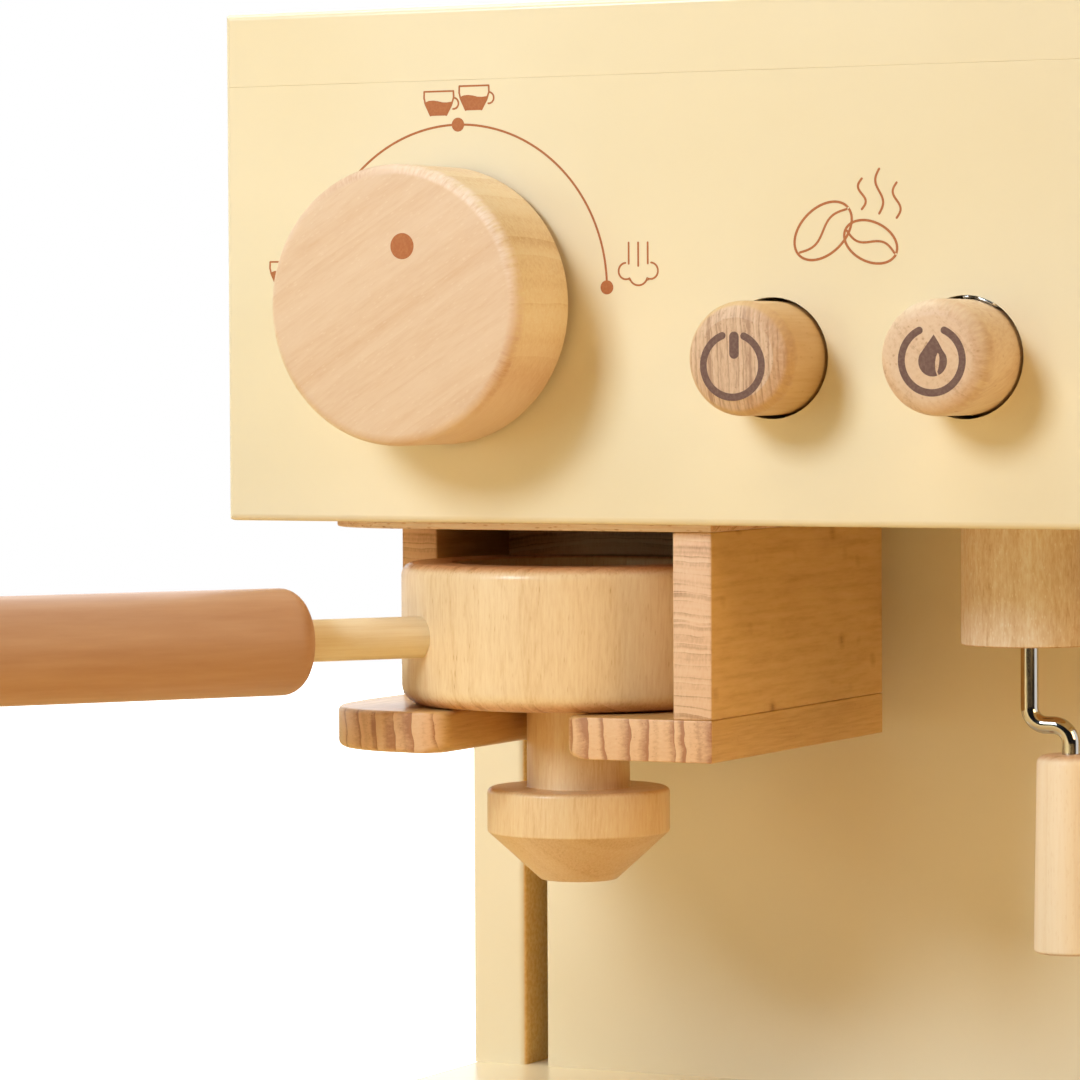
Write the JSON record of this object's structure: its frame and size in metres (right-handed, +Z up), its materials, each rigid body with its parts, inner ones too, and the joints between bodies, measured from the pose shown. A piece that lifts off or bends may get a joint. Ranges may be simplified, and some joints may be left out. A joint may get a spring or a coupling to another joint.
{
  "type": "toy coffee maker",
  "caption": "Painted board toy espresso machine with a turning dial knob, two sprung push buttons, a pull-out filter with handle in a fork holder, and a swivelling steam wand.",
  "frame": {"origin": "centre of the base board's underside, on the surface it stands on", "axes": "+Z up; the dial and buttons face -Y; +X to the right seen from the front"},
  "size_m": [0.2775, 0.2716, 0.273],
  "materials": {
    "cream_paint": "satin",
    "beech": "satin",
    "pale_beech": "satin",
    "filter_beech": "satin",
    "grip_lacquer": "satin",
    "inner_wood": "matte",
    "bright_steel": "polished",
    "screw_steel": "satin"
  },
  "bodies": {
    "machine": {"base_board": "cream_paint", "left_side_board": "cream_paint", "right_side_board": "cream_paint", "front_board": "cream_paint", "top_board": "cream_paint", "head_floor": "cream_paint", "column_panel": "cream_paint", "back_panel": "cream_paint", "board_dowels": "inner_wood", "back_screws": "screw_steel", "base_screws": "screw_steel", "holder_plate": "beech", "holder_left_wall": "beech", "holder_right_wall": "beech", "holder_back_wall": "beech", "holder_fork": "beech", "holder_screws": "screw_steel", "steam_boss": "beech", "button_guide": "inner_wood", "power_spring": "bright_steel", "water_spring": "bright_steel"},
    "dial": {"knob": "pale_beech", "knob_shaft": "inner_wood", "knob_disc": "inner_wood", "knob_screw": "screw_steel"},
    "power": {"power_button": "pale_beech", "power_collar": "inner_wood"},
    "water": {"water_button": "pale_beech", "water_collar": "inner_wood"},
    "slider": {"spout": "filter_beech"},
    "filter": {"filter_basket": "filter_beech", "handle_rod": "pale_beech", "handle_grip": "grip_lacquer"},
    "wand": {"wand_rod": "bright_steel", "wand_collar": "bright_steel", "wand_grip": "pale_beech"}
  },
  "joints": [
    {"name": "dial_turn", "type": "hinge", "parent": "machine", "child": "dial", "pos_m": [-0.063, -0.09, 0.2063], "axis": [0, 1, 0], "continuous": true},
    {"name": "power_press", "type": "slide", "parent": "machine", "child": "power", "axis": [0, 1, 0], "range_m": [0, 0.006], "stiffness_N_per_m": 250, "springref_m": -0.006, "deforming": ["power_spring"]},
    {"name": "water_press", "type": "slide", "parent": "machine", "child": "water", "axis": [0, 1, 0], "range_m": [0, 0.006], "stiffness_N_per_m": 250, "springref_m": -0.006, "deforming": ["water_spring"]},
    {"name": "filter_pull", "type": "slide", "parent": "machine", "child": "slider", "axis": [0, -1, 0], "range_m": [0, 0.09]},
    {"name": "filter_turn", "type": "hinge", "parent": "slider", "child": "filter", "pos_m": [-0.05365, -0.0443, 0.1153], "axis": [0, 0, 1], "range_deg": [-54, 72]},
    {"name": "wand_turn", "type": "hinge", "parent": "machine", "child": "wand", "pos_m": [0.0514, -0.029, 0.13], "axis": [0, 0, 1], "continuous": true}
  ]
}
